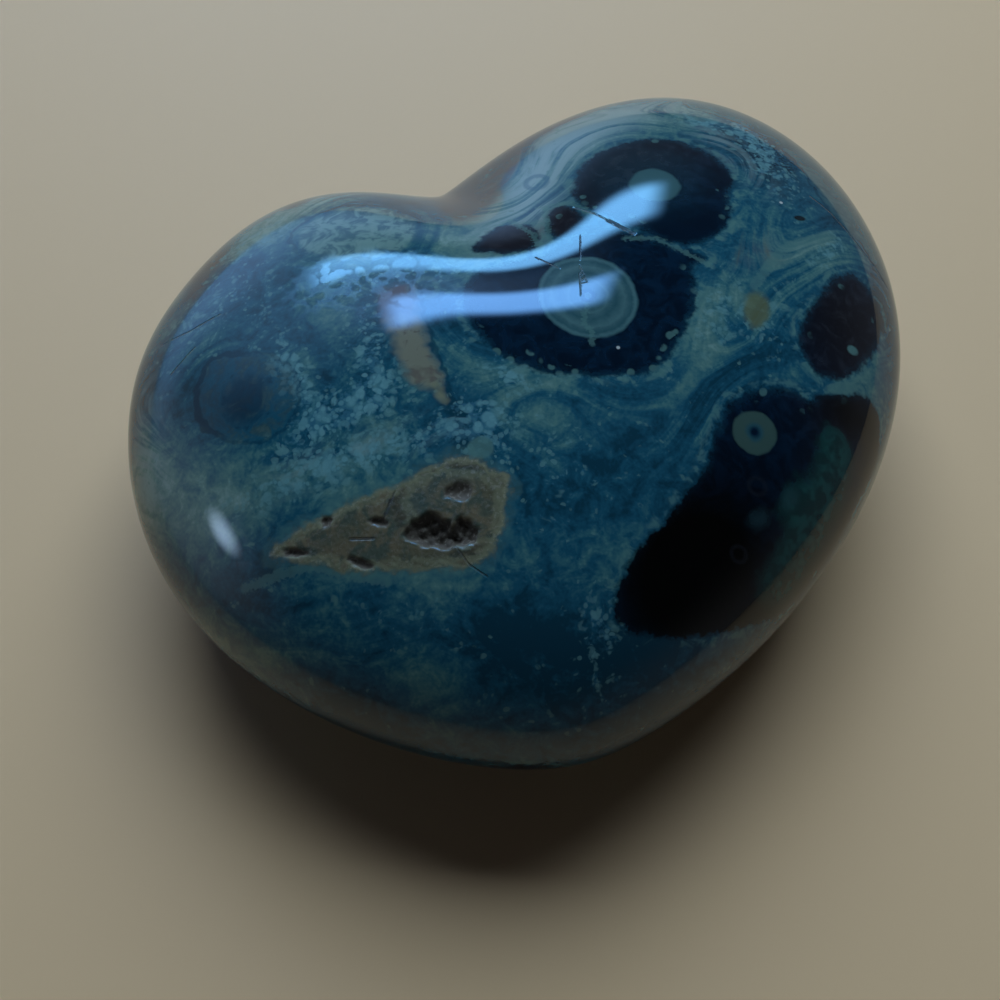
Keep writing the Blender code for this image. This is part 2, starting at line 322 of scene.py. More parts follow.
def spaced(start, stop, count, crowds, density):
    """count + 1 values from start to stop, closer together where density plus the crowds is higher.

    The density is integrated, and the values lie at equal steps of that integral. Each crowd adds
    gain * exp(-((value - place) / width)^2).
    """
    value = np.linspace(start, stop, 8001)
    weight = density(value)
    for place, width, gain in crowds:
        weight = weight + gain * np.exp(-(((value - place) / width) ** 2))
    total = np.concatenate([[0.0], np.cumsum((weight[1:] + weight[:-1]) / 2.0)])
    return np.interp(np.linspace(0.0, total[-1], count + 1), total, value)


def skin_parameters():
    """Longitude and latitude of each grid point, one row per latitude, in radians."""
    longitude = spaced(0.0, 360.0, COLUMNS, COLUMN_CROWDS, lambda value: np.ones_like(value))[:-1]
    latitude = spaced(
        -90.0, 90.0, ROWS + 1, ROW_CROWDS, lambda value: np.where(value < 0.0, UNDERSIDE_DENSITY, 1.0)
    )[1:-1]
    return np.meshgrid(np.radians(longitude), np.radians(latitude))


def surface_frame(longitude, latitude):
    """Point, sideways, ahead and outward unit vectors of the stone at one place; sideways is nearest X."""
    step = 0.002
    east = heart_surface(longitude + step, latitude) - heart_surface(longitude - step, latitude)
    north = heart_surface(longitude, latitude + step) - heart_surface(longitude, latitude - step)
    outward = np.cross(east, north)
    outward = outward / np.linalg.norm(outward)
    side = np.array([1.0, 0.0, 0.0]) - outward * outward[0]
    side = side / np.linalg.norm(side)
    return heart_surface(longitude, latitude), side, np.cross(outward, side), outward


def with_pits(points):
    """Points pushed in at each pit, and how deep each one went as a share of its pit's depth.

    With r the distance in the pit's own half lengths, wavy by a few sines of the bearing, the floor
    lies at depth * (1 - r^2)^0.6 under the skin for r below 1.
    """
    sunk = np.zeros(points.shape[:-1])
    for longitude, latitude, half_length, half_width, depth, turn in PITS:
        place, side, ahead, outward = surface_frame(math.radians(longitude), math.radians(latitude))
        angle = math.radians(turn)
        away = points - place
        along = away @ (side * math.cos(angle) + ahead * math.sin(angle)) / (half_length * MM)
        over = away @ (ahead * math.cos(angle) - side * math.sin(angle)) / (half_width * MM)
        bearing = np.arctan2(over, along)
        wavy = 1.0 + 0.10 * np.sin(3.0 * bearing + longitude) + 0.07 * np.sin(7.0 * bearing + latitude)
        near = np.linalg.norm(away, axis=-1) < PIT_REACH
        inside = np.clip(1.0 - (along**2 + over**2) / wavy**2, 0.0, 1.0) * near
        floor = inside**0.6 * (1.0 + 0.25 * np.sin(9.0 * along + 2.0) * np.sin(8.0 * over + 1.0))
        points = points - outward * (floor * depth * MM)[..., None]
        sunk = np.maximum(sunk, np.clip(floor, 0.0, 1.0))
    return points, sunk


# ---------- marking functions
TOP_HEIGHT = HALF_THICKNESS / MM - 3.0  # markings that are drawn from above stay above this, in mm
FAR = 9.0  # stands for a distance where there is no marking
SIDE_TOP = 11.0  # the side waves start at this height in mm
SIDE_BLEND = 7.0  # and are full this much lower


def rounded_outline(corners, steps=5):
    """Closed Catmull-Rom curve through the corners: steps points from each corner to the next."""
    corners = np.array(corners, float)
    before, after, beyond = (np.roll(corners, shift, axis=0) for shift in (1, -1, -2))
    t = (np.arange(steps) / steps)[None, :, None]
    a, b, c, d = (part[:, None, :] for part in (before, corners, after, beyond))
    curve = 0.5 * (2 * b + (c - a) * t + (2 * a - 5 * b + 4 * c - d) * t**2 + (3 * b - a - 3 * c + d) * t**3)
    return curve.reshape(-1, 2)


def dropped(plan, skin):
    """Plan points with the height of the stone's top there, taken from the nearest skin point."""
    top = skin[skin[:, 2] > HALF_THICKNESS / MM - 2.0]
    nearest = [np.argmin(((top[:, :2] - point) ** 2).sum(axis=1)) for point in plan]
    return np.column_stack([plan, top[nearest, 2]])


def outline_distance(corners, skin):
    """Signed distance in mm from each skin point to the outline, below zero inside it.

    The outline lies on the stone, and the distance is the straight one to its nearest edge. A point
    is inside if a line to its right crosses the outline an odd number of times and it is on top.
    """
    curve = dropped(rounded_outline(corners), skin)
    nearest = np.full(len(skin), np.inf)
    inside = np.zeros(len(skin), bool)
    x, y = skin[:, 0], skin[:, 1]
    for start, end in zip(curve, np.roll(curve, -1, axis=0)):
        edge = end - start
        share = np.clip(((skin - start) @ edge) / (edge @ edge), 0.0, 1.0)
        away = skin - start - share[:, None] * edge
        nearest = np.minimum(nearest, (away * away).sum(axis=1))
        crosses = (start[1] > y) != (end[1] > y)
        rise = end[1] - start[1]
        where = start[0] + (y - start[1]) * edge[0] / (rise if rise else 1.0)
        inside ^= crosses & (x < where)
    inside &= skin[:, 2] > TOP_HEIGHT
    return np.sqrt(nearest) * np.where(inside, -1.0, 1.0)


def line_distance(lines, skin):
    """Signed distance in mm to the side of the nearest line, plain distance to it, and its half width.

    Each stretch of a line lies on the stone. The signed distance is the one to the endless straight line
    through that stretch, and its sign says on which side the point is, seen from above.
    """
    nearest = np.full(len(skin), np.inf)
    side = np.full(len(skin), FAR)
    width = np.full(len(skin), 0.1)
    for points, half_width in lines:
        path = dropped(np.array(points), skin)
        for start, end in zip(path[:-1], path[1:]):
            edge = end - start
            share = (skin - start) @ edge / (edge @ edge)
            straight = np.linalg.norm(skin - start - share[:, None] * edge, axis=1)
            away = np.linalg.norm(skin - start - np.clip(share, 0.0, 1.0)[:, None] * edge, axis=1)
            left = edge[0] * (skin[:, 1] - start[1]) > edge[1] * (skin[:, 0] - start[0])
            closer = away < nearest
            side[closer] = np.where(left, straight, -straight)[closer]
            width[closer] = half_width
            nearest[closer] = away[closer]
    return side, nearest, width


def soft_least(distances, radius):
    """Least of the distances, with the valleys between them rounded: -radius * log(sum exp(-d / radius))."""
    stack = np.stack(distances)
    least = stack.min(axis=0)
    return least - radius * np.log(np.exp(-(stack - least) / radius).sum(axis=0))


def turned(skin, x, y, turn):
    """Plan coordinates of the skin points from (x, y), along and across a line at the turn from X."""
    angle = math.radians(turn)
    along = (skin[:, 0] - x) * math.cos(angle) + (skin[:, 1] - y) * math.sin(angle)
    over = (skin[:, 1] - y) * math.cos(angle) - (skin[:, 0] - x) * math.sin(angle)
    return along, over


def soft_areas(areas, skin):
    """Sum of bell curves over the stone's top: strength * exp(-(a / half length)^2 - (b / half width)^2)."""
    total = np.zeros(len(skin))
    top = np.clip((skin[:, 2] - 4.0) / 6.0, 0.0, 1.0)
    for x, y, half_length, half_width, turn, strength in areas:
        along, over = turned(skin, x, y, turn)
        total += strength * np.exp(-((along / half_length) ** 2) - (over / half_width) ** 2)
    return np.clip(total * top, 0.0, 1.0)


def least_ellipse(ellipses, skin):
    """Least of the distances from the ellipses' upright axes, 1 on an ellipse, and 9 off the stone's top."""
    least = np.full(len(skin), FAR)
    for x, y, half_length, half_width, turn in ellipses:
        along, over = turned(skin, x, y, turn)
        least = np.minimum(least, np.hypot(along / half_length, over / half_width))
    return np.where(skin[:, 2] > TOP_HEIGHT, least, FAR)


def slow_waves(skin, wavelength, count, seed):
    """Sum of sine waves in random directions, wavelengths near the given one, scaled to about +-1.5."""
    rng = np.random.default_rng(seed)
    total = np.zeros(len(skin))
    for _ in range(count):
        heading = rng.normal(size=3)
        heading = heading / np.linalg.norm(heading)
        turns = skin @ heading / (wavelength * rng.uniform(0.7, 1.5)) + rng.uniform()
        total += np.sin(2.0 * math.pi * turns)
    return total * math.sqrt(2.0 / count)


# Distances and shares that the material reads, kept three to one attribute in this order.
KEPT = """
    orb flow drift left_oval pale_orb rim_zone sandy sunk vein side_disc green_patch jet
    pale dark brown speckled banded milky plum bits crazed sand_teal sand_tan
    spot_navy spot_veil spot_green spot_dim spot_grey spot_olive ring_dim ring_blue ring_grey
    crack_side crack_near crack_width pale_line_side pale_line_near pale_line_width ring_green
""".split()


def placed(name, data):
    """New object with that name and data, in the scene."""
    made = bpy.data.objects.new(name, data)
    bpy.context.scene.collection.objects.link(made)
    return made


def keep_attributes(mesh, values):
    """Puts the named values on the mesh's points, as vectors."""
    for first in range(0, len(KEPT), 3):
        three = [values[name] for name in KEPT[first : first + 3]]
        three += [np.zeros_like(three[0])] * (3 - len(three))
        attribute = mesh.attributes.new("kept_%d" % first, "FLOAT_VECTOR", "POINT")
        attribute.data.foreach_set("vector", np.stack(three, axis=-1).astype(np.float32).ravel())


def heart_skin(node):
    """The stone's skin as one closed mesh: grid rows from pole to pole, closed by a fan at each pole."""
    longitude, latitude = skin_parameters()
    points = heart_surface(longitude, latitude)
    poles = heart_surface(np.array([0.0, 0.0]), np.radians([-90.0, 90.0]))
    points, sunk = with_pits(points)
    points = np.concatenate([poles[:1], points.reshape(-1, 3), poles[1:]])
    sunk = np.concatenate([[0.0], sunk.ravel(), [0.0]])
    points[:, 2] += HALF_THICKNESS - FLAT_DEPTH
    points[:, 2] = np.maximum(points[:, 2], 0.0)
    low, high = (np.array(corner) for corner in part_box(node))
    span = points.max(axis=0) - points.min(axis=0)
    points = low + (points - points.min(axis=0)) * (high - low) / span

    index = 1 + np.arange(points.shape[0] - 2).reshape(latitude.shape)
    right = np.roll(index, -1, axis=1)
    quads = np.stack([index[:-1], right[:-1], right[1:], index[1:]], axis=-1).reshape(-1, 4)
    last = points.shape[0] - 1
    bottom = np.stack([np.zeros_like(index[0]), right[0], index[0]], axis=-1)
    top = np.stack([np.full_like(index[-1], last), index[-1], right[-1]], axis=-1)
    mesh = bpy.data.meshes.new("polished_heart")
    mesh.from_pydata(points.tolist(), [], quads.tolist() + bottom.tolist() + top.tolist())
    mesh.shade_smooth()

    skin = points / MM
    orbs = [outline_distance(corners, skin) for corners in ORB_OUTLINES.values()]
    lift = (points[1:-1].reshape(*latitude.shape, 3) - heart_surface(longitude, latitude))[5, 0] / MM
    side_orbs = []
    side_disc = np.full(len(skin), FAR)
    for place_longitude, place_latitude, radius, disc in SIDE_ORBS:
        centre = heart_surface(np.radians(place_longitude), np.radians(place_latitude)) / MM + lift
        away = np.linalg.norm(skin - centre, axis=1)
        side_orbs.append(away - radius)
        if disc:
            side_disc = np.minimum(side_disc, away / disc)
    orbs += side_orbs
    kept = {name: outline_distance(corners, skin) for name, corners in OUTLINES.items()}
    kept["orb"] = np.min(orbs, axis=0)
    kept["flow"] = soft_least([*orbs, kept["left_oval"], kept["pale_orb"], kept["sandy"] + 1.0], 1.2)
    kept["sunk"] = sunk
    kept["drift"] = slow_waves(skin, 13.0, 9, 5)
    kept["side_disc"] = side_disc
    for name, settings in [*SPOTS.items(), *RINGS.items()]:
        kept[name] = least_ellipse(settings[-1], skin)
    low = np.clip((SIDE_TOP - skin[:, 2]) / SIDE_BLEND, 0.0, 1.0)
    sides = {
        name: strength * low * np.clip(slow_waves(skin, wavelength, 7, seed), 0.0, 1.0)
        for name, wavelength, seed, strength in SIDE_WAVES
    }
    sides["banded"] = low * np.exp(-((np.min(side_orbs, axis=0) / 5.0) ** 2))
    for name, areas in SOFT_AREAS.items():
        kept[name] = np.clip(soft_areas(areas, skin) + sides.get(name, 0.0), 0.0, 1.0)
    for name, lines in (("crack", CRACKS), ("pale_line", PALE_LINES)):
        kept[name + "_side"], kept[name + "_near"], kept[name + "_width"] = line_distance(lines, skin)
    keep_attributes(mesh, kept)
    return mesh


# ---------- materials
class Graph:
    """The node graph of a material or light, with a short call for each kind of node."""

    def __init__(self, block, shader="Principled BSDF"):
        block.use_nodes = True
        self.tree = block.node_tree
        self.shader = self.tree.nodes[shader]

    def put(self, socket, value):
        if isinstance(value, bpy.types.NodeSocket):
            self.tree.links.new(value, socket)
        else:
            socket.default_value = value

    def set(self, name, value):
        self.put(self.shader.inputs[name], value)

    def node(self, kind, inputs, **settings):
        made = self.tree.nodes.new(kind)
        for key, value in settings.items():
            setattr(made, key, value)
        for key, value in inputs.items():
            self.put(made.inputs[key], value)
        return made

    def math(self, operation, first, second=0.0):
        return self.node("ShaderNodeMath", {0: first, 1: second}, operation=operation).outputs[0]

    def add(self, first, second):
        return self.math("ADD", first, second)

    def subtract(self, first, second):
        return self.math("SUBTRACT", first, second)

    def times(self, first, second):
        return self.math("MULTIPLY", first, second)

    def ragged(self, value, noise, amount):
        """The value, moved up and down by the noise."""
        return self.add(value, self.times(self.subtract(noise, 0.5), amount))

    def either(self, first, second):
        return self.math("MAXIMUM", first, second)

    def unless(self, factor):
        return self.subtract(1.0, factor)

    def fade(self, value, empty, full):
        """0 where value is at empty, 1 where it is at full, with a smooth step between."""
        low, high = (empty, full) if empty < full else (full, empty)
        rising = self.node(
            "ShaderNodeMapRange",
            {"Value": value, "From Min": low, "From Max": high},
            interpolation_type="SMOOTHSTEP",
        ).outputs[0]
        return rising if empty < full else self.unless(rising)

    def band(self, value, centre, half_width, softness):
        """1 where value is within half_width of the centre, fading to 0 over the softness."""
        away = self.math("ABSOLUTE", self.subtract(value, centre))
        return self.fade(away, half_width + softness, half_width)

    def attribute(self, name):
        number, part = divmod(KEPT.index(name), 3)
        three = self.node("ShaderNodeAttribute", {}, attribute_name="kept_%d" % (3 * number))
        return self.split(three.outputs["Vector"])[part]

    def dot(self, vector, by):
        return self.node("ShaderNodeVectorMath", {0: vector, 1: by}, operation="DOT_PRODUCT").outputs["Value"]

    def ellipse(self, x, y, long, wide, turn):
        """Distance from an upright axis at x and y in mm, 1 on the ellipse of those half axes."""
        c, s = math.cos(math.radians(turn)), math.sin(math.radians(turn))
        total = None
        for across, along, half in ((c, s, long), (-s, c, wide)):
            share = self.dot(self.here, (across / half, along / half, 0.0))
            share = self.add(share, -(x * across + y * along) / half)
            square = self.times(share, share)
            total = square if total is None else self.add(total, square)
        return self.math("SQRT", total)

    def length(self, vector):
        return self.node("ShaderNodeVectorMath", {0: vector}, operation="LENGTH").outputs["Value"]

    def move(self, vector, by):
        return self.node("ShaderNodeVectorMath", {0: vector, 1: by}, operation="ADD").outputs[0]

    def stretch(self, vector, factor):
        return self.node("ShaderNodeVectorMath", {0: vector, "Scale": factor}, operation="SCALE").outputs[0]

    def noise(self, vector, scale, detail=3.0, roughness=0.55, output="Fac"):
        return self.node(
            "ShaderNodeTexNoise",
            {"Vector": vector, "Scale": scale, "Detail": detail, "Roughness": roughness},
        ).outputs[output]

    def cells(self, vector, scale):
        return self.node("ShaderNodeTexVoronoi", {"Vector": vector, "Scale": scale})

    def mix(self, factor, first, second):
        inputs = {0: factor, 6: first, 7: second}
        return self.node("ShaderNodeMix", inputs, data_type="RGBA").outputs[2]

    def over(self, below, mask, strength, above):
        """The colour below with the one above laid on it, where the mask is and by the strength."""
        return self.mix(self.times(mask, strength), below, above)

    def ramp(self, factor, stops):
        made = self.node("ShaderNodeValToRGB", {"Fac": factor})
        elements = made.color_ramp.elements
        while len(elements) < len(stops):
            elements.new(0.5)
        for element, (position, colour) in zip(elements, stops):
            element.position = position
            element.color = colour
        return made.outputs[0]

    def split(self, vector):
        return self.node("ShaderNodeSeparateXYZ", {0: vector}).outputs


DEEP_BLUE = (0.0045, 0.041, 0.075, 1.0)
BLUE = (0.01, 0.081, 0.143, 1.0)
TEAL = (0.032, 0.127, 0.166, 1.0)
GREY_GREEN = (0.078, 0.185, 0.195, 1.0)
PALE_GREEN = (0.16, 0.29, 0.295, 1.0)
GRAIN_PALE = (0.115, 0.29, 0.36, 1.0)
PALE_BLUE = (0.1, 0.31, 0.47, 1.0)
MILKY = (0.2, 0.3, 0.33, 1.0)
NAVY = (0.0016, 0.015, 0.039, 1.0)
NAVY_DEEP = (0.0008, 0.0075, 0.02, 1.0)
JET = (0.0006, 0.001, 0.0012, 1.0)
PLUM = (0.0085, 0.0105, 0.019, 1.0)
PLUM_PALE = (0.022, 0.026, 0.038, 1.0)
BROWN_GREY = (0.05, 0.056, 0.068, 1.0)
BROWN = (0.075, 0.05, 0.05, 1.0)
DISC_GREEN = (0.044, 0.12, 0.15, 1.0)
RING_GREEN = (0.044, 0.092, 0.088, 1.0)
DISC_DARK = (0.022, 0.082, 0.112, 1.0)
DISC_PALE = (0.08, 0.18, 0.21, 1.0)
SAND = (0.145, 0.128, 0.09, 1.0)
SAND_GREY = (0.062, 0.084, 0.072, 1.0)
SAND_DARK = (0.045, 0.04, 0.03, 1.0)
SAND_TEAL = (0.048, 0.085, 0.09, 1.0)
SAND_RIM = (0.19, 0.21, 0.15, 1.0)
TAN = (0.088, 0.091, 0.064, 1.0)
VEIN_TAN = (0.185, 0.196, 0.16, 1.0)
REDDISH = (0.085, 0.056, 0.056, 1.0)
EMERALD = (0.0022, 0.034, 0.037, 1.0)
EMERALD_PALE = (0.0075, 0.072, 0.074, 1.0)
OLIVE = (0.11, 0.135, 0.075, 1.0)
VUG = (0.095, 0.085, 0.076, 1.0)
VUG_PALE = (0.19, 0.18, 0.165, 1.0)
# Painted highlight: the white of tiny glints of pits or crystals, painted as colour.
PAINTED_GLINT = (0.45, 0.5, 0.55, 1.0)
CRACK = (0.005, 0.008, 0.011, 1.0)
FLOOR = (0.8, 0.56, 0.34, 1.0)

# Pale grains: cells per mm, reach of a grain in cells, how easily they come and strength.
GRAINS = [(1.05, 0.59, -0.15, 0.80), (2.1, 0.51, -0.05, 0.76)]


def ground_colour(g):
    """Mottled blue, with streaks along the orbs' outlines, lichen-like blotches and round pale grains."""
    streak = g.noise(g.move(g.stretch(g.swirled, 0.10), g.stretch(g.flow, 1.0)), 1.0, 3.0, 0.62)
    banded = g.attribute("banded")
    speckled = g.attribute("speckled")
    tone = g.times(g.subtract(streak, 0.5), g.add(0.20, g.times(banded, 1.35)))
    spread = g.subtract(0.75, g.times(banded, 0.40))
    tone = g.ragged(tone, g.mottle, spread)
    tone = g.add(tone, g.times(g.attribute("drift"), 0.09))
    tone = g.ragged(tone, g.fine, 0.24)
    tone = g.add(tone, g.times(g.attribute("pale"), 0.24))
    tone = g.subtract(tone, g.times(g.attribute("dark"), 0.28))
    colour = g.ramp(
        g.add(tone, 0.465),
        [(0.20, DEEP_BLUE), (0.42, BLUE), (0.56, TEAL), (0.72, GREY_GREEN), (0.92, PALE_GREEN)],
    )
    milky = g.times(g.attribute("milky"), g.fade(streak, 0.38, 0.56))
    colour = g.over(colour, milky, 0.85, MILKY)
    brown = g.fade(g.ragged(g.attribute("brown"), streak, 1.4), 0.25, 0.90)
    colour = g.over(colour, brown, 0.85, g.mix(g.fade(g.mottle, 0.40, 0.62), BROWN, BROWN_GREY))

    crowd = g.ragged(g.times(speckled, 0.70), g.mottle, 1.0)
    crowd = g.ragged(crowd, g.edge, 1.1)
    haze = g.fade(g.ragged(crowd, g.fine, 1.0), 0.36, 0.80)
    colour = g.over(colour, haze, 0.20, PALE_BLUE)
    g.cell = []
    for scale, size, floor, strength in GRAINS:
        cells = g.cells(g.move(g.wavy, (scale, 0.0, 0.0)), scale)
        random = g.split(cells.outputs["Color"])
        g.cell.append((cells.outputs["Distance"], random))
        reach = g.add(size, g.times(random[1], -0.18))
        grain = g.fade(g.subtract(cells.outputs["Distance"], reach), 0.10, -0.10)
        grain = g.times(grain, g.fade(g.subtract(g.add(crowd, floor), g.times(random[0], 0.55)), 0.0, 0.14))
        grain = g.times(grain, g.add(0.55, g.times(random[2], 0.45)))
        shade = g.mix(speckled, GREY_GREEN, GRAIN_PALE)
        colour = g.over(colour, grain, strength, shade)
    return colour


def with_rings(g, colour):
    """The pale orb at the back, the left oval and the smooth pale zone along the right rim."""
    body = g.mix(g.fade(g.mottle, 0.38, 0.60), DISC_GREEN, PALE_GREEN)
    pale_orb = g.ragged(g.attribute("pale_orb"), g.edge, 1.4)
    colour = g.over(colour, g.fade(pale_orb, 0.3, -0.5), 0.75, body)
    line = g.times(g.band(pale_orb, 0.6, 0.05, 0.25), g.fade(g.split(g.here)[1], 13.0, 17.0))
    colour = g.over(colour, line, 0.7, DEEP_BLUE)

    oval = g.ragged(g.attribute("left_oval"), g.edge, 1.0)
    x, y, _ = g.split(g.here)
    greyed = g.mix(g.fade(g.mottle, 0.35, 0.65), BLUE, PLUM_PALE)
    colour = g.over(colour, g.fade(oval, 0.3, -1.2), 0.55, greyed)
    core = g.ellipse(-23.7, 1.4, 2.0, 2.3, 0.0)
    core = g.fade(g.ragged(core, g.mottle, 1.8), 1.15, 0.55)
    colour = g.over(colour, core, 0.60, NAVY)
    arc = g.times(g.band(oval, -0.35, 0.16, 0.22), g.fade(g.subtract(g.times(y, 0.5), x), 24.5, 26.5))
    arc = g.either(arc, g.times(g.band(oval, -0.2, 0.06, 0.2), 0.55))
    colour = g.over(colour, arc, 0.60, NAVY)

    zone = g.ragged(g.attribute("rim_zone"), g.edge, 1.0)
    smooth = g.mix(g.fade(g.mottle, 0.35, 0.65), DISC_DARK, DISC_GREEN)
    colour = g.over(colour, g.fade(zone, 0.1, -0.4), 0.75, smooth)
    return g.over(colour, g.band(zone, 0.15, 0.05, 0.22), 0.6, DEEP_BLUE)


def with_dark_orbs(g, colour):
    """Near-black bodies with a soft, slightly ragged edge and a broken pale hairline."""
    orb = g.ragged(g.attribute("orb"), g.edge, 0.9)
    orb = g.ragged(orb, g.fine, 0.35)
    halo = g.times(g.band(orb, 0.45, 0.12, 0.35), g.fade(g.mottle, 0.42, 0.62))
    colour = g.over(colour, halo, 0.60, GREY_GREEN)
    navy = g.mix(g.fade(g.mottle, 0.35, 0.65), NAVY_DEEP, NAVY)
    plum = g.mix(g.fade(g.mottle, 0.45, 0.75), PLUM, PLUM_PALE)
    body = g.mix(g.attribute("plum"), navy, plum)
    body = g.mix(g.attribute("jet"), body, JET)
    inside = g.times(g.fade(orb, -0.9, 0.0), g.unless(g.attribute("jet")))
    body = g.mix(g.times(inside, g.times(g.fine, 0.5)), body, BLUE)
    distance, random = g.cell[0]
    bit = g.fade(distance, 0.46, 0.30)
    share = g.add(0.15, g.times(g.attribute("bits"), 0.6))
    wanted = g.subtract(g.times(g.fade(orb, -2.2, -0.2), share), random[1])
    bit = g.times(g.times(bit, g.fade(wanted, 0.0, 0.1)), g.unless(g.attribute("jet")))
    body = g.over(body, bit, 0.65, GREY_GREEN)
    return g.mix(g.fade(orb, 0.22, -0.28), colour, body)


# Spots on top: raggedness, where the edge fades from and to, strength and colour, then the ellipses as
# x, y, half length, half width and the length's angle from X.
SPOTS = {
    "spot_navy": (0.30, 1.18, 0.75, 0.8, NAVY_DEEP, [(20, 13, 1.3, 1.7, 0), (15.2, 7.6, 3.4, 2.1, 10)]),
    "spot_veil": (0.30, 1.10, 0.20, 0.22, BLUE, [(13.5, 14.5, 7.5, 7, 0)]),
    "spot_green": (0.14, 1.05, 0.90, 0.9, DISC_GREEN, [(14.1, 12.9, 2.2, 2.3, 0)]),
    "spot_dim": (0.80, 1.20, 0.20, 0.22, DISC_GREEN, [(14.8, -17.7, 1.3, 0.8, 40), (11.7, -19, 1.3, 0.8, 20)]),
    "spot_grey": (0.30, 1.12, 0.82, 0.75, GREY_GREEN, [(-7.6, -9.6, 1, 0.95, 0), (22.7, -9.3, 1.8, 0.5, 8)]),
    "spot_olive": (0.40, 1.15, 0.65, 0.8, OLIVE, [(17.5, -2.2, 2, 1.2, 62)]),
}
# Rings on top: half the line's width, strength and colour, then ellipses as above.
RINGS = {
    "ring_dim": (0.10, 0.22, PLUM_PALE, [(9.3, -21.2, 0.7, 0.6, 0), (12.3, -16.7, 0.8, 0.7, 0)]),
    "ring_blue": (0.12, 0.55, BLUE, [(5, 17.6, 1, 1.2, 0), (-6, 12.4, 0.8, 1, 0)]),
    "ring_grey": (0.07, 0.40, GREY_GREEN, [(-7.7, 6.2, 1, 1.2, 0)]),
    "ring_green": (0.10, 0.40, EMERALD_PALE, [(20.4, -13.9, 1.25, 1.35, 0)]),
}
# Small marks on top: x, y, half length, half width and colour. The two white ones are painted highlights: tiny
# glints of pits or crystals, painted as colour.
MARKS = [
    (25, -6, 0.55, 0.45, GREY_GREEN),
    (25.5, 7.4, 0.60, 0.35, CRACK),
    (5.1, -3.9, 0.16, 0.16, PAINTED_GLINT),
    (24.5, 9.3, 0.16, 0.16, PAINTED_GLINT),
]


def with_discs(g, colour):
    """Ringed discs inside the dark orbs, then spots and small rings."""

    def disc(x, y, long, wide, turn=0.0, bend=0.12):
        """Distance from the disc's centre, 1 at its edge."""
        return g.ragged(g.ellipse(x, y, long, wide, turn), g.edge, bend)

    top = g.fade(g.split(g.here)[2], 8.0, 11.0)

    def lay(mask, strength, above):
        nonlocal colour
        colour = g.over(colour, g.times(mask, top), strength, above)

    middle = disc(4.4, 1.6, 3.95, 4.35, 0.0, 0.08)
    side = g.ragged(g.attribute("side_disc"), g.edge, 0.3)
    r = g.math("MINIMUM", middle, side)
    rings = g.ramp(
        g.ragged(r, g.fine, 0.05),
        [
            (0.00, DISC_PALE), (0.06, DISC_PALE), (0.09, NAVY), (0.14, NAVY), (0.19, DISC_GREEN),
            (0.34, DISC_GREEN), (0.40, DISC_PALE), (0.46, DISC_GREEN), (0.56, DISC_DARK), (0.63, DISC_GREEN),
            (0.74, DISC_PALE), (0.80, DISC_GREEN), (0.88, DISC_DARK), (0.94, DISC_PALE), (1.00, DISC_GREEN),
        ],
    )
    patchy = g.mix(g.fade(g.mottle, 0.40, 0.65), DISC_DARK, DISC_GREEN)
    inside = g.either(g.times(g.fade(middle, 1.03, 0.96), top), g.fade(side, 1.03, 0.96))
    colour = g.over(colour, inside, 0.95, g.mix(0.40, rings, patchy))

    patch = g.ragged(g.attribute("green_patch"), g.edge, 2.4)
    lay(g.fade(patch, 0.4, -1.3), 0.85, g.mix(g.fade(g.edge, 0.42, 0.66), EMERALD, EMERALD_PALE))

    r = disc(13.45, -12.7, 1.9, 1.7, 25.0, 0.16)
    lay(
        g.fade(r, 1.06, 0.92),
        0.9,
        g.ramp(r, [(0.0, NAVY_DEEP), (0.16, NAVY), (0.34, DISC_DARK), (0.50, RING_GREEN), (0.86, RING_GREEN)]),
    )
    for name, (bend, start, end, strength, shade, _) in SPOTS.items():
        r = g.ragged(g.attribute(name), g.edge, bend)
        colour = g.over(colour, g.fade(r, start, end), strength, shade)
    for name, (half_line, strength, shade, _) in RINGS.items():
        r = g.ragged(g.attribute(name), g.edge, 0.12)
        colour = g.over(colour, g.band(r, 0.9, half_line, 0.25), strength, shade)
    # The small marks. Two of them are painted highlights: white glints painted as colour.
    for x, y, long, wide, shade in MARKS:
        lay(g.fade(disc(x, y, long, wide), 1.15, 0.65), 0.9, shade)
    return colour


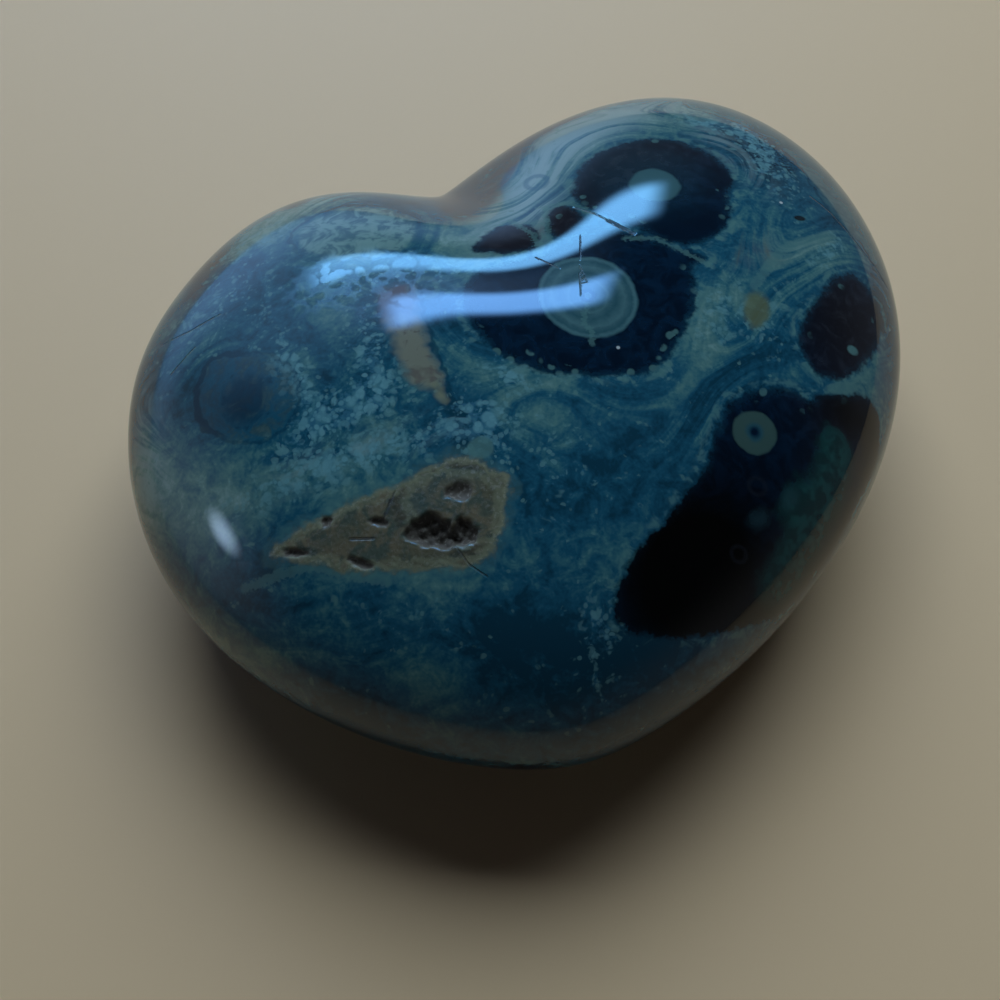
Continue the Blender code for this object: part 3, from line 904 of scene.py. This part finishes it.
def with_sand_and_vein(g, colour):
    """The tan vein that runs down to the sandy pocket, and that pocket with its pale rim."""
    vein = g.ragged(g.attribute("vein"), g.edge, 1.3)
    downward = g.ragged(g.split(g.here)[1], g.mottle, 3.0)
    tan = g.mix(g.fade(downward, 2.0, 5.0), VEIN_TAN, REDDISH)
    tan = g.mix(g.fade(downward, -2.2, -3.8), tan, SAND_RIM)
    tan = g.over(tan, g.fade(g.mottle, 0.55, 0.70), 0.6, REDDISH)
    colour = g.over(colour, g.fade(vein, 0.45, -0.65), 0.9, tan)
    east = g.fade(g.split(g.here)[0], -10.2, -9.2)
    colour = g.over(colour, g.times(g.band(vein, 0.30, 0.05, 0.25), east), 0.7, DEEP_BLUE)

    sandy = g.ragged(g.attribute("sandy"), g.edge, 1.3)
    sandy = g.ragged(sandy, g.fine, 0.5)
    sand = g.mix(g.fade(g.mottle, 0.36, 0.60), SAND_GREY, SAND)
    sand = g.over(sand, g.fade(g.fine, 0.48, 0.32), 0.35, SAND_DARK)
    sand = g.mix(g.times(g.attribute("sand_teal"), g.add(0.55, g.times(g.mottle, 0.4))), sand, SAND_TEAL)
    sand = g.mix(g.times(g.attribute("sand_tan"), g.fade(g.mottle, 0.30, 0.55)), sand, TAN)
    lines = g.band(g.add(g.times(g.attribute("sandy"), 0.9), g.times(g.mottle, 1.6)), 0.2, 0.08, 0.25)
    around = g.ellipse(-10.4, -13.6, 2.7, 1.8, -28.0)
    around = g.ragged(around, g.mottle, 0.9)
    lines = g.either(lines, g.band(around, 1.45, 0.05, 0.16))
    sand = g.over(sand, lines, 0.45, SAND_RIM)
    sand = g.over(sand, g.band(around, 1.75, 0.04, 0.14), 0.5, SAND_DARK)
    sand = g.over(sand, g.band(sandy, -0.25, 0.1, 0.4), 0.7, SAND_RIM)
    colour = g.over(colour, g.band(sandy, 0.30, 0.1, 0.5), 0.30, GREY_GREEN)
    colour = g.mix(g.fade(sandy, 0.32, -0.38), colour, sand)
    inside = g.mix(g.fade(g.fine, 0.52, 0.66), VUG, VUG_PALE)
    return g.mix(g.fade(g.attribute("sunk"), 0.10, 0.45), colour, inside)


def line_on_stone(g, name, wiggle, softness):
    """1 on the lines whose distances the attributes hold."""
    over = g.math("ABSOLUTE", g.ragged(g.attribute(name + "_side"), g.fine, wiggle))
    line = g.fade(g.subtract(over, g.attribute(name + "_width")), softness, -0.02)
    return g.times(line, g.fade(g.attribute(name + "_near"), 0.7, 0.35))


def jasper():
    material = bpy.data.materials.new("orbicular_jasper_polished")
    g = Graph(material)
    coordinates = g.node("ShaderNodeTexCoord", {}).outputs["Object"]
    g.here = g.node("ShaderNodeMapping", {"Vector": coordinates, "Scale": (1000.0,) * 3}).outputs[0]
    g.edge = g.noise(g.here, 0.95, 1.0, 0.6)
    g.fine = g.noise(g.here, 3.2, 1.0, 0.6)
    swirl = g.noise(g.here, 0.50, 0.0, output="Color")
    g.swirled, g.wavy = (
        g.move(g.here, g.stretch(g.move(swirl, (-0.5, -0.5, -0.5)), reach)) for reach in (2.2, 0.7)
    )
    g.mottle = g.noise(g.swirled, 0.85, 2.0, 0.62)
    flow = g.add(g.attribute("flow"), g.attribute("drift"))
    g.flow = g.node("ShaderNodeCombineXYZ", {"X": flow}).outputs[0]

    colour = ground_colour(g)
    colour = with_rings(g, colour)
    colour = with_dark_orbs(g, colour)
    colour = with_discs(g, colour)
    colour = g.over(colour, line_on_stone(g, "pale_line", 0.9, 0.25), 0.55, GREY_GREEN)
    colour = with_sand_and_vein(g, colour)
    crack = line_on_stone(g, "crack", 0.6, 0.06)
    colour = g.over(colour, crack, 0.65, CRACK)

    sand = g.fade(g.attribute("sandy"), 0.15, -0.3)
    sunk = g.fade(g.attribute("sunk"), 0.0, 0.08)
    rough = g.add(0.045, g.times(sand, g.add(0.07, g.times(g.fade(g.fine, 0.50, 0.35), 0.30))))
    craze = g.times(g.attribute("crazed"), g.fade(g.cell[0][0], 0.46, 0.62))
    rough = g.add(rough, g.times(craze, 0.25))
    rough = g.either(g.either(rough, g.times(crack, 0.6)), g.times(sunk, 0.80))
    groove = g.subtract(g.math("ABSOLUTE", g.attribute("crack_side")), g.attribute("crack_width"))
    groove = g.times(g.fade(groove, 0.08, 0.0), g.fade(g.attribute("crack_near"), 0.7, 0.35))
    relief = g.subtract(g.times(g.times(sand, g.noise(g.here, 3.0, 0.0)), 0.07), g.times(groove, 0.08))
    bump = g.node("ShaderNodeBump", {"Height": relief, "Strength": 1.0, "Distance": 0.0006})
    g.set("Base Color", colour)
    g.set("Roughness", rough)
    g.set("Normal", bump.outputs[0])
    g.set("IOR", 1.54)
    return material


def pale_floor():
    material = bpy.data.materials.new("pale_floor")
    g = Graph(material)
    g.set("Base Color", FLOOR)
    g.set("Roughness", 0.6)
    return material


# ---------- scene
def add_floor():
    """A plain square at z = 0 under the stone."""
    half = 0.42
    mesh = bpy.data.meshes.new("floor")
    corners = [(-half, -half, 0.0), (half, -half, 0.0), (half, half, 0.0), (-half, half, 0.0)]
    mesh.from_pydata(corners, [], [(0, 1, 2, 3)])
    floor = placed("floor", mesh)
    mesh.materials.append(pale_floor())


# Soft boxes: name, middle as azimuth and elevation, width and height in degrees, radiance, colour.
SOFT_BOXES = [
    ("soft_box_low", (7.5, 27.6), 38.0, 9.5, 12.5, (0.18, 0.52, 1.0)),
    ("soft_box_high", (11.0, 43.3), 26.0, 8.5, 15.0, (0.17, 0.45, 1.0)),
]
# Soft glows: name, middle, width and height in degrees, radiance and colour.
GLOWS = [
    ("wide_glow", (-18.0, 30.0), 56.0, 50.0, 0.95, (0.34, 0.60, 1.0)),
    ("low_glow", (-15.0, 6.0), 84.0, 36.0, 1.5, (0.30, 0.55, 1.0)),
    ("veil", (4.0, 38.0), 36.0, 22.0, 1.45, (0.30, 0.55, 1.0)),
    ("left_glow", (-72.0, 16.0), 76.0, 70.0, 0.42, (0.82, 0.88, 0.96)),
    ("left_box", (-78.0, 28.0), 16.0, 12.0, 7.0, (0.50, 0.72, 1.0)),
    ("left_halo", (-78.0, 28.0), 24.0, 20.0, 0.9, (0.50, 0.72, 1.0)),
]
# Key light: name, middle, distance, width and height in metres, radiance and colour.
KEY = ("key", (21.0, 51.0), 0.55, 0.56, 0.46, 3.5, (0.70, 0.88, 1.0))
GLOW_DISTANCE = 2.0
# Camera: place in metres, the way it looks back along, its sideways direction, roll and lens.
CAMERA_AT = (-0.02181, -0.06544, 0.11717)
CAMERA_BACK = (-0.1349, -0.4799, 0.8669)
CAMERA_SIDE = (0.9627, -0.2706, 0.0)
CAMERA_ROLL = math.radians(-0.345)
CAMERA_LENS = 52.34
ROOM_LOW = 0.012  # strength overhead
ROOM_RISE = 0.075  # and what is added towards the horizon


def direction(azimuth, elevation):
    """Unit vector from the stone, in degrees from +Y towards +X and up."""
    a, e = math.radians(azimuth), math.radians(elevation)
    return Vector((math.sin(a) * math.cos(e), math.cos(a) * math.cos(e), math.sin(e)))


def add_area(name, middle, distance, width, height, radiance, colour):
    """Rectangular light that faces the stone, in metres."""
    light = bpy.data.lights.new(name, "AREA")
    light.shape = "RECTANGLE"
    light.size = width
    light.size_y = height
    light.color = colour
    light.energy = radiance * math.pi * width * height
    obj = placed(name, light)
    away = direction(*middle)
    side = Vector((0.0, 0.0, 1.0)).cross(away).normalized()
    turn = Matrix((side, away.cross(side), away)).transposed().to_4x4()
    obj.matrix_world = Matrix.Translation(away * distance + Vector((0.0, 0.0, 0.012))) @ turn
    obj.visible_camera = False
    return obj


def add_reflection(name, middle, width, height, radiance, colour):
    """Rectangle GLOW_DISTANCE away, its sides in degrees, for reflections alone.

    Returns its node graph, and the place on it from 0 to 1 both ways.
    """
    size = [2.0 * GLOW_DISTANCE * math.tan(math.radians(angle) / 2.0) for angle in (width, height)]
    obj = add_area(name, middle, GLOW_DISTANCE, *size, radiance, colour)
    obj.visible_diffuse = False
    g = Graph(obj.data, "Emission")
    return g, g.node("ShaderNodeNewGeometry", {}).outputs["Parametric"]


def add_soft_box(*settings):
    """Plain rectangle with soft edges."""
    g, place = add_reflection(*settings)
    x, y, _ = g.split(place)
    sides = g.fade(g.math("MINIMUM", x, g.subtract(1.0, x)), 0.0, 0.14)
    ends = g.fade(g.math("MINIMUM", y, g.subtract(1.0, y)), 0.0, 0.30)
    g.set("Strength", g.times(sides, ends))


def add_glow(*settings):
    """Light that fades from its middle outwards."""
    g, place = add_reflection(*settings)
    mapping = {"Vector": place, "Location": (-1.0, -1.0, 0.0), "Scale": (2.0, 2.0, 0.0)}
    away = g.length(g.node("ShaderNodeMapping", mapping).outputs[0])
    g.set("Strength", g.fade(away, 1.0, 0.1))


def add_camera():
    data = bpy.data.cameras.new("camera")
    data.sensor_width = 36.0
    data.lens = CAMERA_LENS
    camera = placed("camera", data)
    back = Vector(CAMERA_BACK).normalized()
    side = Vector(CAMERA_SIDE).normalized()
    up = back.cross(side)
    right = side * math.cos(CAMERA_ROLL) + up * math.sin(CAMERA_ROLL)
    up = back.cross(right)
    turn = Matrix((right, up, back)).transposed().to_4x4()
    camera.matrix_world = Matrix.Translation(Vector(CAMERA_AT)) @ turn
    bpy.context.scene.camera = camera


def add_world():
    world = bpy.data.worlds.new("room")
    bpy.context.scene.world = world
    g = Graph(world, "Background")
    height = g.split(g.node("ShaderNodeTexCoord", {}).outputs["Generated"])[2]
    g.set("Color", (0.95, 0.97, 1.0, 1.0))
    g.set("Strength", g.add(ROOM_LOW, g.times(g.fade(height, 0.60, 0.02), ROOM_RISE)))


def build():
    skin = heart_skin("heart")
    stone = placed("polished_heart", skin)
    skin.materials.append(jasper())
    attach(stone, "root")
    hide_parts("heart")
    add_floor()
    add_world()
    for soft_box in SOFT_BOXES:
        add_soft_box(*soft_box)
    for glow in GLOWS:
        add_glow(*glow)
    add_area(*KEY).visible_glossy = False  # lights the stone's own colours alone
    add_camera()
    bpy.context.scene.view_settings.view_transform = "Standard"


build()
